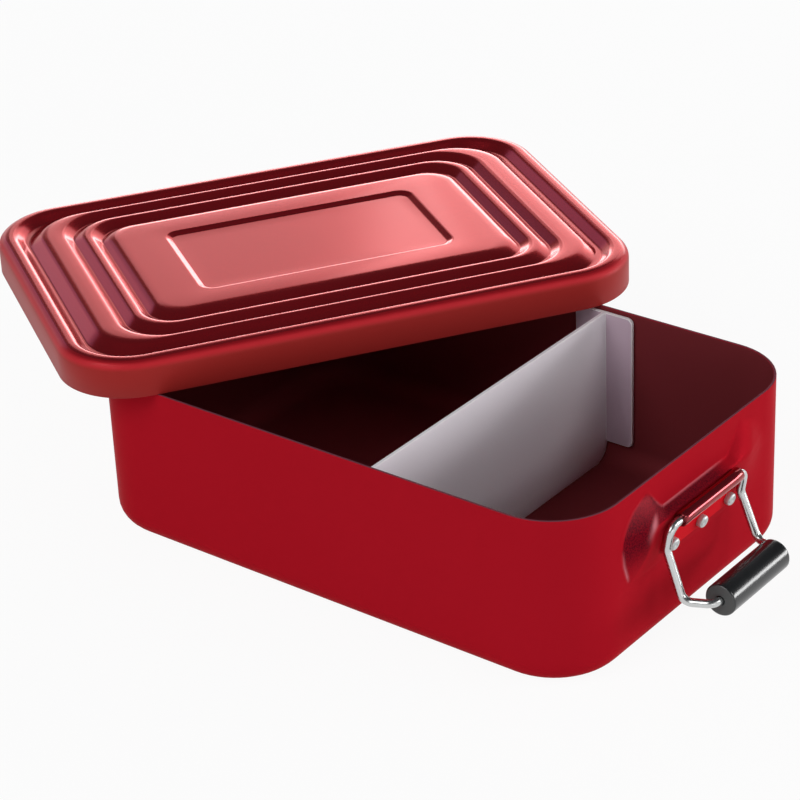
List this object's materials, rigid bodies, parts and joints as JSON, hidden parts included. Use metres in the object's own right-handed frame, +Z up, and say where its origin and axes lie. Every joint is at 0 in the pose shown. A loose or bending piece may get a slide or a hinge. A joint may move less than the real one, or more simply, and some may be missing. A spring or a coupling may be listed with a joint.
{
  "type": "lunch box",
  "caption": "Open rectangular metal lunch box with round corners, a pressed ribbed lid laid across its rim, a plastic divider and a hinged wire clip with a roller grip at each end.",
  "frame": {"origin": "centre of the box's flat underside, on the surface it stands on", "axes": "+X along the box's long side towards the right end, +Y to the back long wall, +Z up"},
  "size_m": [0.3464, 0.2526, 0.0816],
  "materials": {
    "tub_lacquer": "gloss",
    "lid_lacquer": "gloss",
    "bracket_lacquer": "gloss",
    "rivet_metal": "satin",
    "wire_plating": "polished",
    "grip_plastic": "gloss",
    "divider_plastic": "satin"
  },
  "bodies": {
    "box": {"body_shell": "tub_lacquer", "right_bracket": "bracket_lacquer", "left_bracket": "bracket_lacquer", "right_rivets": "rivet_metal", "left_rivets": "rivet_metal"},
    "lid": {"lid_shell": "lid_lacquer"},
    "divider": {"divider": "divider_plastic"},
    "right_bail": {"right_bail_wire": "wire_plating"},
    "left_bail": {"left_bail_wire": "wire_plating"},
    "right_grip": {"right_grip": "grip_plastic"},
    "left_grip": {"left_grip": "grip_plastic"}
  },
  "joints": [
    {"name": "right_bail_hinge", "type": "hinge", "parent": "box", "child": "right_bail", "pos_m": [0.11884, 0, 0.04802], "axis": [0, -1, 0], "range_deg": [0, 185]},
    {"name": "left_bail_hinge", "type": "hinge", "parent": "box", "child": "left_bail", "pos_m": [-0.11884, 0, 0.04802], "axis": [0, 1, 0], "range_deg": [0, 108]},
    {"name": "right_grip_turn", "type": "hinge", "parent": "right_bail", "child": "right_grip", "pos_m": [0.13554, 0, 0.02122], "axis": [0, 1, 0], "continuous": true},
    {"name": "left_grip_turn", "type": "hinge", "parent": "left_bail", "child": "left_grip", "pos_m": [-0.13554, 0, 0.02122], "axis": [0, 1, 0], "continuous": true},
    {"name": "lid_lift", "type": "slide", "parent": "box", "child": "lid", "axis": [0, 0, 1], "range_m": [0, 0.12]},
    {"name": "divider_slide", "type": "slide", "parent": "box", "child": "divider", "axis": [1, 0, 0], "range_m": [-0.0952, 0.0438]}
  ]
}
